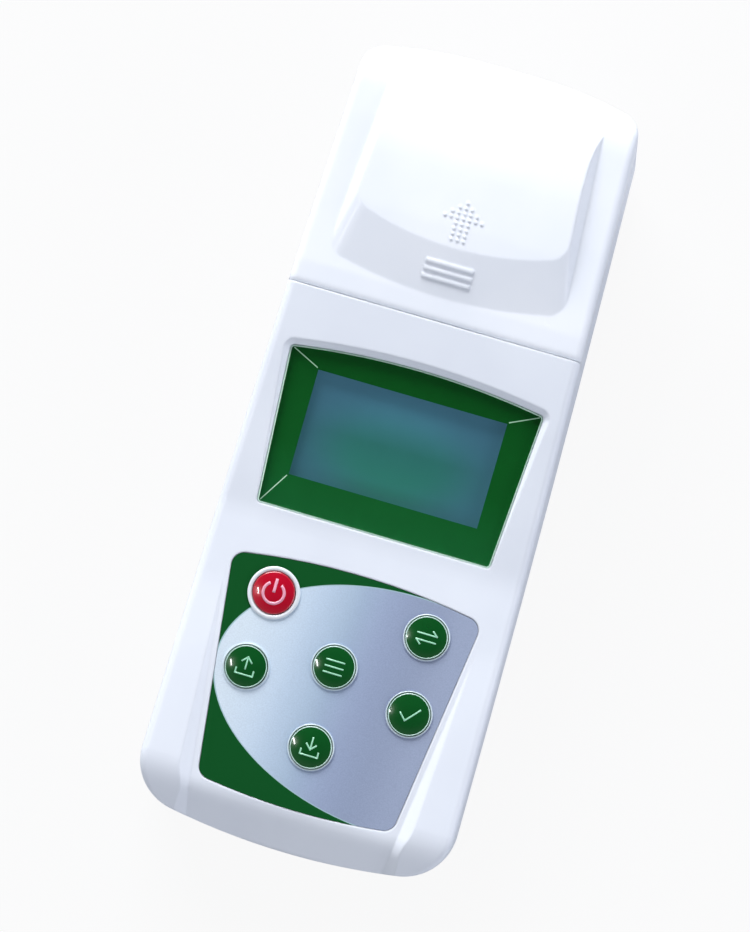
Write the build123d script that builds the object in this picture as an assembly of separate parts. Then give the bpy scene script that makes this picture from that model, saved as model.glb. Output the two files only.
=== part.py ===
from build123d import *
from math import atan2, cos, degrees, radians, sin, sqrt, tan
import os

# Handheld colorimeter for water samples.
# X runs across the case, Y along it with the lid end at +Y, Z up from the table.
# The origin is under the middle of the case, on the table. All sizes are in millimetres.

# Outline of the case in plan, at the parting line where it is widest
case_length = 221.0
half_width_user = 44.5
half_width_middle = 43.3
half_width_far = 40.6
user_end_arc_rise = 5.2
far_end_arc_rise = 6.2
user_corner_radius = 15.0
far_corner_radius = 9.0
wall = 2.4

# Heights above the table
foot_height = 1.5
parting_height = 18.0
channel_start_height = 36.2
deck_height = 44.0
lid_ledge_height = 34.0
upper_draft = 4.5
lower_draft = 3.0
case_bottom_round = 2.5
case_top_round = 2.0

# Rises over the deck: the end of the display zone and the lid's underside
seam_rise = 5.5
lid_clearance = 2.0
# The lid's rim rises over its underside, and the plateau over the rim
lid_rim_rise = 4.1
plateau_rise = 4.6

# Places along the case
seam_y = 36.0
seam_gap = 0.25
display_foot_y = -24.5
channel_start_y = -45.0
well_y = 57.0

# General clearances
fit_gap = 0.15
side_gap = 0.30
thread_gap = 0.05

# Keypad channel, which sinks towards the user
keypad_tilt = 4.0
channel_half_width = 35.0
channel_taper = 0.121
channel_wall_slope = 35.0

# Keypad panel, flush in the channel floor
panel_top_y = -33.5
panel_bottom_y = -98.0
panel_top_half = 34.5
panel_bottom_half = 26.9
panel_top_rise = 3.2
panel_bottom_rise = 2.0
panel_corner = 3.5
panel_thickness = 0.6

# Keys: centres in plan
key_radius = 5.7
key_dome_rise = 1.5
key_edge_rise = 0.7
key_travel = 0.5
key_flange_radius = 7.0
key_flange_thickness = 0.8
key_stem_radius = 1.5
key_ring_width = 0.4
power_ring_width = 1.2
key_ring_rise = 0.3
key_places = {
    "key_power": (-21.0, -44.2),
    "key_switch": (21.4, -44.2),
    "key_recall": (-22.6, -65.0),
    "key_menu": (0.0, -58.6),
    "key_confirm": (22.6, -65.0),
    "key_save": (0.0, -80.7),
}

# Switches and main board, parallel to the channel floor
switch_side = 6.0
switch_height = 3.5
switch_well_depth = 1.2
board_thickness = 1.6
main_board_half = 32.0
main_board_near_y = -97.0
main_board_far_y = -29.5
main_board_screws = ((29.0, -34.0), (26.0, -91.0))

# Display window and the stack under it, in the plane of the window
window_sink = 1.79715
window_bottom_y = -22.2
window_top_half = 34.9
window_bottom_half = 32.3
window_top_y = 19.0
window_base_y = -23.8
window_top_rise = 2.85
window_corner = 1.2
window_flare = 50.0
window_thickness = 1.5
window_mask_thickness = 0.2
view_width = 52.3
view_height = 29.0
view_centre_y = 1.33
window_ledge = 1.4
bezel_sheet = 0.5
glass_width = 60.0
glass_height = 36.0
glass_thickness = 2.0
backlight_thickness = 2.8
display_board_width = 72.0
display_board_height = 42.0
display_screw_x = 33.2
display_screw_y = 18.2

# Lid, its plateau and its slide
lid_travel = 40.0
lid_wall = 2.4
plateau_foot_y = 42.2
plateau_top_y = 54.5
plateau_foot_half = 32.6
plateau_top_half = 29.7
plateau_narrowing = 2.6
plateau_near_rise = 3.9
liner_thickness = 1.2
lid_boss_x = 29.4
lid_boss_ys = (44.5, 54.5)
lid_boss_radius = 5.4
lid_neck_radius = 3.2
lid_play = 0.10
slide_bar_width = 6.6
slide_bar_height = 2.4
arrow_rows = (1, 3, 5, 7, 3, 3, 3, 3)
arrow_pitch_x = 1.67
arrow_pitch_y = 1.45
arrow_dot_radius = 0.38
arrow_dot_rise = 0.25
arrow_tip_y = 67.6
grip_rib_count = 3
grip_rib_length = 13.0
grip_rib_width = 1.0
grip_rib_rise = 0.35
grip_rib_pitch = 2.0
grip_centre_y = 48.6

# Sample well and optics
well_radius = 12.7
well_bottom = 10.5
block_half_x = 24.0
block_half_y = 17.0
block_bottom = 7.5
collar_flange_radius = 16.0
collar_flange_height = 1.2
collar_neck_radius = 14.2
seal_width = 3.0
seal_height = 1.7
beam_height = 24.0
beam_radius = 2.2
lamp_radius = 2.5
lamp_length = 6.5
lamp_rim = 1.0
lens_thickness = 1.8
lens_shoulder = 1.2
filter_radius = 4.0
filter_thickness = 2.0
diode_radius = 4.1
diode_length = 3.6
optics_board_side = 20.0

# Batteries: AA cells
cell_radius = 7.1
cell_length = 50.0
cell_nub_radius = 2.6
cell_nub_length = 1.0
cell_count = 4
cell_pitch = 15.0
bay_wall = 1.6
contact_sheet = 0.5
leaf_bulge = 2.2
bay_far_y = -47.4
contact_half = 5.0
contact_tab_reach = 4.1
contact_tab_width = 3.0

# Battery door
door_half = 30.8
door_tab_reach = 1.8
door_tab_length = 5.0
door_tab_ys = (-57.0, -75.0, -91.0)
door_travel = 6.0
door_step = 1.2

# Screws
screw_shank = 1.45
screw_head_radius = 2.8
screw_head_height = 2.0
small_shank = 1.0
small_head_radius = 1.9
small_head_height = 1.3
small_boss_radius = 2.4
case_boss_radius = 3.6
case_column_radius = 3.9
case_screw_insets = ((7.46107, -97.0), (8.1084, -24.0), (9.40183, 95.0))
foot_places = ((37.0, -84.0), (31.0, 80.0))
foot_radius = 3.3
foot_sink = 0.8

# Parts under the main board: places in plan, and width, length and height
processor_place = (0.0, -52.0)
processor_size = (12.0, 12.0, 1.4)
amplifier_place = (15.0, -57.0)
amplifier_size = (6.0, 5.0, 1.5)
crystal_place = (-14.0, -55.0)
crystal_size = (11.0, 4.6, 3.2)
buzzer_place = (-14.5, -40.0)
buzzer_radius = 4.8
buzzer_height = 4.0
capacitor_places = ((-20.0, -70.0), (-24.0, -70.0), (20.0, -72.0), (14.0, -48.0))
capacitor_radius = 1.6
capacitor_height = 1.8

# Leads and the sockets under the main board
lead_radius = 0.8
socket_height = 4.0
battery_socket_size = (7.0, 5.0, socket_height)
optics_socket_size = (5.0, 5.0, socket_height)
battery_socket_place = (12.5, -38.0)
lamp_socket_place = (-26.0, -42.0)
sensor_socket_place = (26.0, -42.0)

# Sizes that follow from those above
half_length = case_length / 2
widest_half = max(half_width_user, half_width_middle, half_width_far)
floor_top = foot_height + wall
seam_height = deck_height + seam_rise
lid_floor_height = deck_height + lid_clearance
lid_rim_height = lid_floor_height + lid_rim_rise
plateau_height = lid_rim_height + plateau_rise
sky = plateau_height + 30.0
display_foot_height = channel_start_height + (display_foot_y - channel_start_y) * tan(radians(keypad_tilt))
display_tilt = degrees(atan2(seam_height - display_foot_height, seam_y - display_foot_y))
window_tilt = display_tilt - window_sink
cell_centre_height = floor_top + 0.5 + cell_radius
bay_top = cell_centre_height + cell_radius + 0.8
bay_half = cell_pitch * cell_count / 2 + 0.8
bay_length = cell_length + cell_nub_length + leaf_bulge + 2 * contact_sheet + 0.3
bay_near_y = bay_far_y - bay_length
contact_tab_end = bay_far_y + contact_tab_reach
contact_tab_height = bay_top - 1.35
switch_depth = wall + fit_gap + key_flange_thickness + key_travel + fit_gap
board_depth = switch_depth + switch_height
glass_depth = window_thickness + window_mask_thickness + window_ledge + bezel_sheet + 0.1
backlight_depth = glass_depth + glass_thickness
display_board_depth = backlight_depth + backlight_thickness
deck_underside = deck_height - wall
slide_bar_top = deck_underside - 0.3
small_hole = small_shank + thread_gap
lamp_face_x = -block_half_x - lamp_rim
diode_face_x = block_half_x - diode_length


def channel_plane(y):
    """Plane on the channel floor at y in plan; its x runs across the case."""
    height = channel_start_height + (y - channel_start_y) * tan(radians(keypad_tilt))
    normal = (0, -sin(radians(keypad_tilt)), cos(radians(keypad_tilt)))
    return Plane(origin=(0, y, height), x_dir=(1, 0, 0), z_dir=normal)


def window_plane():
    """Plane on the front of the display window, centred on the visible part of the LCD."""
    rise = (view_centre_y - window_bottom_y) * tan(radians(window_tilt))
    foot = display_foot_height + (window_bottom_y - display_foot_y) * tan(radians(display_tilt))
    normal = (0, -sin(radians(window_tilt)), cos(radians(window_tilt)))
    return Plane(origin=(0, view_centre_y, foot + rise), x_dir=(1, 0, 0), z_dir=normal)


def slab(x0, x1, y0, y1, z0, z1):
    """Box between two corners."""
    return Pos((x0 + x1) / 2, (y0 + y1) / 2, (z0 + z1) / 2) * Box(x1 - x0, y1 - y0, z1 - z0)


def across(y0, y1, z0, z1):
    """Block wider than the case, for cutting."""
    return slab(-widest_half - 5, widest_half + 5, y0, y1, z0, z1)


def rod(radius, x, y, z0, z1):
    """Upright cylinder."""
    return Pos(x, y, (z0 + z1) / 2) * Cylinder(radius, z1 - z0)


def rod_x(radius, x0, x1, y, z):
    """Cylinder along X."""
    return Pos((x0 + x1) / 2, y, z) * Rot(0, 90, 0) * Cylinder(radius, x1 - x0)


def both_sides(places):
    """Mirror a list of right-hand places to the left-hand side too."""
    return [(side * x, y) for x, y in places for side in (-1, 1)]


def side_x(y):
    """Half width of the case in plan at y: a gentle bow through the three named half widths."""
    user_y = user_end_arc_rise - half_length
    far_y = half_length - far_end_arc_rise
    user_slope = (half_width_user - half_width_middle) / user_y
    far_slope = (half_width_far - half_width_middle) / far_y
    bow = (far_slope - user_slope) / (far_y - user_y)
    return half_width_middle + (user_slope - bow * user_y) * y + bow * y * y


case_screws = [(side_x(y) - inset, y) for inset, y in case_screw_insets]


def end_y(x, half_width, rise, inset):
    """Distance from the middle of the case to an end's arc, at x across."""
    radius = (half_width ** 2 + rise ** 2) / (2 * rise)
    return half_length - radius + sqrt((radius - inset) ** 2 - x ** 2)


def outline_corner(direction, half_width, rise, inset):
    """Point where an end's arc meets the side, before the corner is rounded."""
    y = direction * (half_length - rise)
    for step in range(4):
        x = side_x(y) - inset
        y = direction * end_y(x, half_width, rise, inset)
    return x, y


def case_outline(inset=0.0):
    """Plan of the case at the parting line, drawn in by inset."""
    user_x, user_y = outline_corner(-1, half_width_user, user_end_arc_rise, inset)
    far_x, far_y = outline_corner(1, half_width_far, far_end_arc_rise, inset)
    reach = half_length - inset
    middle = half_width_middle - inset
    edges = [
        ThreePointArc((-user_x, user_y), (0, -reach), (user_x, user_y)),
        ThreePointArc((user_x, user_y), (middle, 0), (far_x, far_y)),
        ThreePointArc((far_x, far_y), (0, reach), (-far_x, far_y)),
        ThreePointArc((-far_x, far_y), (-middle, 0), (-user_x, user_y)),
    ]
    plan = make_face(edges)
    plan = fillet(plan.vertices().sort_by(Axis.Y)[:2], user_corner_radius - inset)
    return fillet(plan.vertices().sort_by(Axis.Y)[-2:], far_corner_radius - inset)


def upper_hull(inset, bottom, top):
    """The case's drafted outline above the parting line, drawn in by inset, between two heights."""
    plan = Pos(0, 0, parting_height) * case_outline(inset)
    whole = extrude(plan, top - parting_height, taper=upper_draft)
    return whole & slab(-widest_half, widest_half, -half_length, half_length, bottom, top)


def under_curve(points, radii, drop=0.0):
    """Everything below a side profile given as (y, z) points, lowered by drop."""
    curve = FilletPolyline(*[(y, z - drop) for y, z in points], radius=list(radii))
    first = (points[0][0], 0)
    last = (points[-1][0], 0)
    closing = Polyline(curve @ 1, last, first, curve @ 0)
    side = Plane.YZ * make_face([curve, closing])
    return extrude(side, widest_half + 5, both=True)


def front_profile(drop=0.0):
    """Side profile of the upper case, from the user's end up to the seam."""
    slope = tan(radians(display_tilt))
    points = [
        (-half_length - 1.0, parting_height - 4.0),
        (-half_length + 1.4, parting_height + 8.0),
        (-half_length + 11.5, channel_start_height - 1.2),
        (channel_start_y, channel_start_height),
        (display_foot_y, display_foot_height),
        (seam_y + 6.0, seam_height + 6.0 * slope),
    ]
    return under_curve(points, (7.0, 16.0, 60.0, 40.0), drop)


def channel_space():
    """Space over the sunken channel. Its floor and its side walls roll down at the user's end."""
    fall = tan(radians(keypad_tilt))
    end_y = -half_length + 10.2
    end_z = channel_start_height + (end_y - channel_start_y) * fall
    top_y = channel_start_y + 15.0
    points = [
        (-half_length - 2.0, parting_height - 6.0),
        (-half_length + 1.0, parting_height + 5.0),
        (end_y, end_z),
        (top_y, channel_start_height + (top_y - channel_start_y) * fall),
    ]
    radii = (8.0, 9.0)
    space = across(-half_length - 1.9, top_y - 0.1, parting_height, sky) - under_curve(points, radii)
    for side in (-1, 1):
        space -= channel_wall(side, points, radii)
    return space


def channel_wall(side, points, radii):
    """Everything under one side wall of the channel: its floor line carried outwards and up."""
    lap = 2.0
    slope = tan(radians(channel_wall_slope))
    lean = sqrt(1 + channel_taper ** 2)
    line = [((y - channel_start_y) * lean, z - lap * slope) for y, z in points]
    curve = FilletPolyline(*line, radius=list(radii))
    closing = Polyline(curve @ 1, (line[-1][0], -half_length), (line[0][0], -half_length), curve @ 0)
    start = Plane(
        origin=(side * (channel_half_width - lap), channel_start_y, 0),
        x_dir=(side * channel_taper, 1, 0),
        z_dir=(1, -side * channel_taper, 0),
    )
    return extrude(start * make_face([curve, closing]), widest_half, dir=(side, 0, slope))


def front_solid(inset=0.0):
    """Upper case in front of the seam, as a solid, or the hollow inside it for a positive inset."""
    hull = upper_hull(inset, parting_height - 0.1 * bool(inset), seam_height + 4.0)
    solid = hull & front_profile(inset)
    if not inset:
        solid = round_top_edges(solid, case_top_round)
    solid = solid - Pos(0, 0, -inset) * channel_space()
    return solid & across(-half_length - 1, seam_y - inset, parting_height - 0.1, sky)


def round_top_edges(solid, radius):
    """Round the edge where the top meets the drafted side walls and the ends."""
    sides = []
    for edge in solid.edges():
        middle = edge.center(CenterOf.MASS)
        across = abs(edge.tangent_at(0.5).X) > 0.999 and abs(middle.X) < 1.0
        upright = abs(edge.tangent_at(0.5).Z) > 0.9
        low = middle.Z < parting_height + 1.0
        inner = len([face for face in solid.faces() if edge in face.edges()]) < 2
        if not (across or upright or low or inner):
            sides.append(edge)
    return fillet(sides, radius)


def head_solid():
    """Upper case behind the seam: low walls and the raised deck, as a solid."""
    low = upper_hull(0, parting_height, lid_ledge_height)
    deck = upper_hull(lid_wall + side_gap + 0.2, parting_height, deck_height)
    behind = across(seam_y - 0.01, half_length + 1, parting_height, sky)
    return (low + deck) & behind


def head_hollow():
    """Hollow under the ledge and the deck."""
    low = upper_hull(wall, parting_height - 0.1, lid_ledge_height - wall)
    deck = upper_hull(lid_wall + side_gap + 0.2 + wall, parting_height - 0.1, deck_underside)
    behind = across(seam_y - wall - 0.01, half_length + 1, parting_height - 0.1, sky)
    return (low + deck) & behind


def panel_sketch(grow=0.0):
    """Outline of the keypad panel on the channel floor, about its own middle."""
    stretch = 1 / cos(radians(keypad_tilt))
    middle = (panel_top_y + panel_bottom_y) / 2
    top = (panel_top_y - middle) * stretch + grow
    base = (panel_bottom_y - middle) * stretch - grow
    top_half = panel_top_half + grow
    base_half = panel_bottom_half + grow
    top_corner = top - panel_top_rise
    base_corner = base + panel_bottom_rise
    edges = [
        ThreePointArc((-top_half, top_corner), (0, top), (top_half, top_corner)),
        Line((top_half, top_corner), (base_half, base_corner)),
        ThreePointArc((base_half, base_corner), (0, base), (-base_half, base_corner)),
        Line((-base_half, base_corner), (-top_half, top_corner)),
    ]
    return fillet(make_face(edges).vertices(), panel_corner + grow)


def panel_plane():
    return channel_plane((panel_top_y + panel_bottom_y) / 2)


def panel_slice(sketch, depth_top, depth_bottom):
    """Extrude a sketch on the panel plane between two depths below the channel floor."""
    lower = panel_plane() * Pos(0, 0, -depth_bottom) * sketch
    return extrude(lower, depth_bottom - depth_top, dir=panel_plane().z_dir)


def at_key(name, depth=0.0):
    """Where a key stands, at a depth below the channel floor."""
    x, y = key_places[name]
    return channel_plane(y) * Pos(x, 0, -depth)


def window_sketch(grow=0.0):
    """Outline of the display window about the middle of the visible LCD."""
    top_half = window_top_half + grow
    base_half = window_bottom_half + grow
    top = window_top_y + grow
    base = window_base_y - grow
    edges = [
        ThreePointArc((-top_half, top), (0, top + window_top_rise), (top_half, top)),
        Line((top_half, top), (base_half, base)),
        Line((base_half, base), (-base_half, base)),
        Line((-base_half, base), (-top_half, top)),
    ]
    return fillet(make_face(edges).vertices(), window_corner + grow)


def window_slice(sketch, depth_top, depth_bottom):
    """Extrude a sketch on the window plane between two depths behind the window's front."""
    lower = window_plane() * Pos(0, 0, -depth_bottom) * sketch
    return extrude(lower, depth_bottom - depth_top, dir=window_plane().z_dir)


def board_screw_locations():
    return [channel_plane(y) * Pos(x, 0, 0) for x, y in both_sides(main_board_screws)]


def display_screw_locations():
    places = both_sides(((display_screw_x, -display_screw_y), (display_screw_x, display_screw_y)))
    return [window_plane() * Pos(x, y, 0) for x, y in places]


def depth_rod(radius, depth_top, depth_bottom):
    """Cylinder along a plane's normal, between two depths below the plane."""
    return Pos(0, 0, -(depth_top + depth_bottom) / 2) * Cylinder(radius, depth_bottom - depth_top)


def upper_case():
    solid = front_solid() + head_solid()
    shell = solid - front_solid(wall) - head_hollow()
    seat = window_thickness + window_mask_thickness
    ledge_depth = seat + window_ledge
    shell += window_slice(window_sketch(2.0), -0.2, ledge_depth) & solid
    shell -= window_slice(window_sketch(fit_gap), 0, seat)
    opening = extrude(window_plane() * window_sketch(fit_gap), 8.0, taper=-window_flare)
    shell -= opening
    shell -= window_slice(Rectangle(view_width + 2.6, view_height + 2.6), seat - 0.1, ledge_depth + 3.0)
    shell -= panel_slice(panel_sketch(fit_gap), -2.0, panel_thickness)
    for name in key_places:
        shell -= at_key(name) * depth_rod(key_radius + side_gap, -1.0, wall + 2.0)
    inside = Pos(0, 0, -wall / 2) * solid
    for place in board_screw_locations():
        shell += place * depth_rod(small_boss_radius, panel_thickness + 0.4, board_depth)
    for place in display_screw_locations():
        shell += place * depth_rod(small_boss_radius, seat, display_board_depth)
    for x, y in both_sides(case_screws):
        top = lid_ledge_height - wall / 2 if y > seam_y else seam_height
        shell += rod(case_boss_radius, x, y, parting_height + 0.1, top) & inside
    for place in board_screw_locations():
        shell -= place * depth_rod(small_hole, board_depth - 4.2, board_depth + 1.0)
    for place in display_screw_locations():
        shell -= place * depth_rod(small_hole, display_board_depth - 4.0, display_board_depth + 1.0)
    for x, y in both_sides(case_screws):
        shell -= rod(screw_shank + thread_gap, x, y, parting_height - 1, parting_height + 9.0)
    rebate = extrude(Pos(0, 0, parting_height - 0.5) * case_outline(wall / 2 - 0.05), 0.5 + 1.4)
    shell -= rebate - upper_hull(wall, parting_height - 1, parting_height + 3)
    shell -= rod(collar_neck_radius + fit_gap, 0, well_y, deck_underside - 1, deck_height + 1)
    for side in (-1, 1):
        half = lid_neck_radius + side_gap
        near = min(lid_boss_ys) - half
        far = max(lid_boss_ys) + lid_travel + half
        x = side * lid_boss_x
        shell -= slab(x - half, x + half, near, far, deck_underside - 1, deck_height + 1)
    for x, y in block_screw_places():
        shell -= rod(small_hole, x, y, deck_underside - 1, deck_height + 1)
    return shell


def lower_hull(inset, bottom):
    """The case's drafted outline from the parting line down, drawn in by inset."""
    upright = extrude(case_outline(inset), parting_height - bottom, taper=lower_draft)
    return Pos(0, 0, parting_height) * mirror(upright, about=Plane.XY)


def lower_outside():
    solid = lower_hull(0, foot_height)
    return fillet(solid.edges().group_by(Axis.Z)[0], case_bottom_round)


def lower_case():
    outside = lower_outside()
    shell = outside - lower_hull(wall, floor_top)
    tongue = case_outline(wall / 2 + 0.10) - case_outline(wall)
    shell += extrude(Pos(0, 0, parting_height - 1.0) * tongue, 1.0 + 1.2)
    wall_x = bay_half + bay_wall + door_tab_reach
    near = bay_near_y - bay_wall
    far = bay_far_y + bay_wall
    shell += slab(-wall_x, wall_x, near, far, floor_top, bay_top + bay_wall) & outside
    shell -= slab(-bay_half, bay_half, bay_near_y, bay_far_y, floor_top - 0.5, bay_top)
    for x, y in both_sides(case_screws):
        shell += rod(case_column_radius, x, y, floor_top - 0.5, parting_height) & outside
    for index in (0, cell_count - 1):
        shell -= contact_tab(index, fit_gap)
    door_far_y = bay_far_y + bay_wall
    edge = door_half + fit_gap
    shell -= slab(-edge, edge, -half_length - 1, door_far_y + fit_gap, 0, floor_top)
    for side in (-1, 1):
        for y in door_tab_ys:
            shell -= door_tab_space(side, y)
    for x, y in both_sides(case_screws):
        shell -= rod(screw_shank + fit_gap, x, y, 0, parting_height + 1)
        shell -= rod(screw_head_radius + fit_gap, x, y, 0, floor_top + 4.0)
    for x, y in both_sides(foot_places):
        shell -= rod(foot_radius + thread_gap, x, y, 0, foot_height + foot_sink)
    return shell


def door_tab_space(side, y):
    """Groove for one tab of the battery door, with the notch that lets the tab drop out."""
    half = door_tab_length / 2 + fit_gap
    reach = door_half + door_tab_reach + fit_gap
    x0, x1 = sorted((side * (door_half - 1), side * reach))
    groove = slab(x0, x1, y - door_travel - half, y + half, foot_height + door_step, floor_top)
    notch = slab(x0, x1, y - door_travel - half, y - door_travel + half, 0, floor_top)
    return groove + notch


def battery_door():
    door_far_y = bay_far_y + bay_wall
    top = floor_top - fit_gap
    door = lower_outside() & slab(-door_half, door_half, -half_length - 1, door_far_y, 0, top)
    for side in (-1, 1):
        for y in door_tab_ys:
            x0, x1 = sorted((side * (door_half - 1), side * (door_half + door_tab_reach)))
            half = door_tab_length / 2
            door += slab(x0, x1, y - half, y + half, foot_height + door_step + fit_gap, top)
    for row in range(5):
        y = -60.0 - 2.4 * row
        door -= slab(-9, 9, y - 0.6, y + 0.6, 0, foot_height + 0.5)
    return door


def rubber_feet():
    feet = [rod(foot_radius, x, y, 0, foot_height + foot_sink) for x, y in both_sides(foot_places)]
    return Compound(children=[fillet(foot.edges().group_by(Axis.Z)[0], 0.5) for foot in feet])


def screw(shank, head_radius, head_height, length):
    """Pan-head screw standing head down, with the head's bearing face at the origin."""
    head = Pos(0, 0, -head_height / 2) * Cylinder(head_radius, head_height)
    head = fillet(head.edges().group_by(Axis.Z)[0], head_height * 0.35)
    head -= Pos(0, 0, -head_height) * Box(head_radius * 1.1, 0.5, head_height * 0.8)
    head -= Pos(0, 0, -head_height) * Box(0.5, head_radius * 1.1, head_height * 0.8)
    body = Pos(0, 0, length / 2 - 0.1) * Cylinder(shank, length + 0.2)
    return head + body


def case_screw_set():
    item = screw(screw_shank, screw_head_radius, screw_head_height, parting_height + 8.0 - floor_top - 4.0)
    return Compound(children=[Pos(x, y, floor_top + 4.0) * item for x, y in both_sides(case_screws)])


def keypad_panel():
    panel = panel_slice(panel_sketch(), 0, panel_thickness)
    for name in key_places:
        width = power_ring_width if name == "key_power" else key_ring_width
        hole = key_radius + side_gap
        panel += at_key(name) * depth_rod(hole + width, -key_ring_rise, panel_thickness)
    for name in key_places:
        panel -= at_key(name) * depth_rod(key_radius + side_gap, -1.0, panel_thickness + 1.0)
    return panel


def key(name):
    """Key cap with its dome, its flange behind the panel and the stem into the switch."""
    flange_top = wall + fit_gap
    flange_base = flange_top + key_flange_thickness
    rise = key_dome_rise - key_edge_rise
    ball = (key_radius ** 2 + rise ** 2) / (2 * rise)
    cap = depth_rod(key_radius, -key_dome_rise, flange_base)
    cap &= Pos(0, 0, key_dome_rise - ball) * Sphere(ball)
    circles = cap.edges().filter_by(lambda edge: edge.is_closed)
    cap = fillet(circles.sort_by(Axis.Z)[-1:], 0.35)
    cap += depth_rod(key_flange_radius, flange_top, flange_base)
    cap += depth_rod(key_stem_radius, flange_base - 0.1, switch_depth + 0.2)
    return at_key(name) * cap


def key_switches():
    solids = []
    for name in key_places:
        housing = Box(switch_side, switch_side, switch_height)
        housing = Pos(0, 0, -switch_depth - switch_height / 2) * housing
        housing -= depth_rod(key_stem_radius + side_gap, switch_depth - 1, switch_depth + switch_well_depth)
        solids.append(at_key(name) * housing)
    return Compound(children=solids)


def main_board():
    middle = (main_board_near_y + main_board_far_y) / 2
    length = (main_board_far_y - main_board_near_y) / cos(radians(keypad_tilt))
    plate = Box(2 * main_board_half, length, board_thickness)
    plate = fillet(plate.edges().filter_by(Axis.Z), 2.0)
    board = channel_plane(middle) * Pos(0, 0, -board_depth - board_thickness / 2) * plate
    hole = depth_rod(small_shank + fit_gap, board_depth - 1, board_depth + board_thickness + 1)
    for place in board_screw_locations():
        board -= place * hole
    return board


def flipped(place, depth):
    """Location under a board, with local Z pointing away from the board's underside."""
    return place * Pos(0, 0, -depth) * Rot(180, 0, 0)


def under_board(x, y):
    return flipped(channel_plane(y) * Pos(x, 0, 0), board_depth + board_thickness)


def chip(place, size):
    """Box-shaped part standing on the board's underside."""
    return under_board(*place) * Pos(0, 0, size[2] / 2) * Box(*size)


def can(place, radius, height):
    """Round part standing on the board's underside."""
    return under_board(*place) * Pos(0, 0, height / 2) * Cylinder(radius, height)


def board_screws():
    item = screw(small_shank, small_head_radius, small_head_height, 5.6)
    solids = [p * Pos(0, 0, -board_depth - board_thickness) * item for p in board_screw_locations()]
    return Compound(children=solids)


def display_screws():
    item = screw(small_shank, small_head_radius, small_head_height, 5.2)
    depth = display_board_depth + board_thickness
    return Compound(children=[p * Pos(0, 0, -depth) * item for p in display_screw_locations()])


def capacitors():
    cans = [can(place, capacitor_radius, capacitor_height) for place in capacitor_places]
    return Compound(children=cans)


def display_mask():
    """Green print on the back of the window, open over the visible part of the LCD."""
    mask = window_slice(window_sketch(), window_thickness, window_thickness + window_mask_thickness)
    view = Rectangle(view_width, view_height)
    return mask - window_slice(view, window_thickness - 1, window_thickness + 1)


def display_bezel():
    """Sheet-metal frame round the LCD glass and its backlight."""
    top = glass_depth - bezel_sheet
    outer_x = glass_width + 2 * (bezel_sheet + 0.1)
    outer_y = glass_height + 2 * (bezel_sheet + 0.1)
    frame = window_slice(Rectangle(outer_x, outer_y), top, display_board_depth)
    inner = Rectangle(outer_x - 2 * bezel_sheet, outer_y - 2 * bezel_sheet)
    frame -= window_slice(inner, glass_depth, display_board_depth + 1)
    return frame - window_slice(Rectangle(view_width + 1.6, view_height + 1.6), top - 1, glass_depth + 1)


def display_board():
    end = display_board_depth + board_thickness
    board = window_slice(Rectangle(display_board_width, display_board_height), display_board_depth, end)
    for place in display_screw_locations():
        board -= place * depth_rod(small_shank + fit_gap, display_board_depth - 1, end + 1)
    return board


def display_ribbon():
    """Flat lead from the display board to the main board, bent in an S below both."""
    start = window_plane() * Pos(0, -display_board_height / 2 + 4.0, -display_board_depth - board_thickness)
    end = channel_plane(main_board_far_y - 5.0) * Pos(0, 0, -board_depth - board_thickness)
    y0, z0 = start.position.Y, start.position.Z
    y1, z1 = end.position.Y, end.position.Z
    points = [(y0, z0 - 0.05), (y0, z0 - 6.0), (y1, z1 - 6.0), (y1, z1 - 0.05)]
    strip = trace(FilletPolyline(*points, radius=2.0), 0.4)
    return extrude(Plane.YZ * strip, 7.0, both=True)


def plateau_sketch(height, inset):
    """Outline of the lid's plateau at a height on its sloping flanks."""
    share = (height - lid_rim_height) / (plateau_height - 1.2 - lid_rim_height)
    near_y = plateau_foot_y + share * (plateau_top_y - plateau_foot_y) + inset * 1.2
    near_half = plateau_foot_half + share * (plateau_top_half - plateau_foot_half) - inset
    far_half = near_half - plateau_narrowing
    far_y = half_length + 2.0
    corner_y = near_y + plateau_near_rise
    edges = [
        ThreePointArc((-near_half, corner_y), (0, near_y), (near_half, corner_y)),
        Line((near_half, corner_y), (far_half, far_y)),
        Line((far_half, far_y), (-far_half, far_y)),
        Line((-far_half, far_y), (-near_half, corner_y)),
    ]
    plan = make_face(edges)
    plan = fillet(plan.vertices().sort_by(Axis.Y)[:2], 5.0 - 0.6 * inset)
    return Pos(0, 0, height) * plan


def plateau_solid(inset=0.0):
    points = [
        (plateau_foot_y - 8.0, plateau_height - 2.6),
        (plateau_top_y + 6.0, plateau_height - 0.6),
        (half_length - 32.5, plateau_height),
        (half_length - 20.5, plateau_height - 0.7),
        (half_length - 9.5, plateau_height - 5.2),
        (half_length - 2.0, plateau_height - 13.0),
        (half_length + 3.0, plateau_height - 20.0),
    ]
    low = lid_floor_height
    block = loft([plateau_sketch(low, inset), plateau_sketch(plateau_height + 2.0, inset)], ruled=True)
    return block & under_curve(points, (60.0, 60.0, 30.0, 16.0, 12.0), inset)


def rim_profile(drop=0.0):
    points = [
        (seam_y - 2.0, seam_height - 1.4),
        (seam_y + seam_gap + 0.8, seam_height + 0.1),
        (plateau_foot_y, lid_rim_height),
        (half_length - 14.5, lid_rim_height + 1.8),
        (half_length - 4.5, lid_rim_height - 0.6),
        (half_length + 0.2, lid_rim_height - 12.0),
    ]
    return under_curve(points, (3.0, 12.0, 30.0, 8.0), drop)


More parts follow.
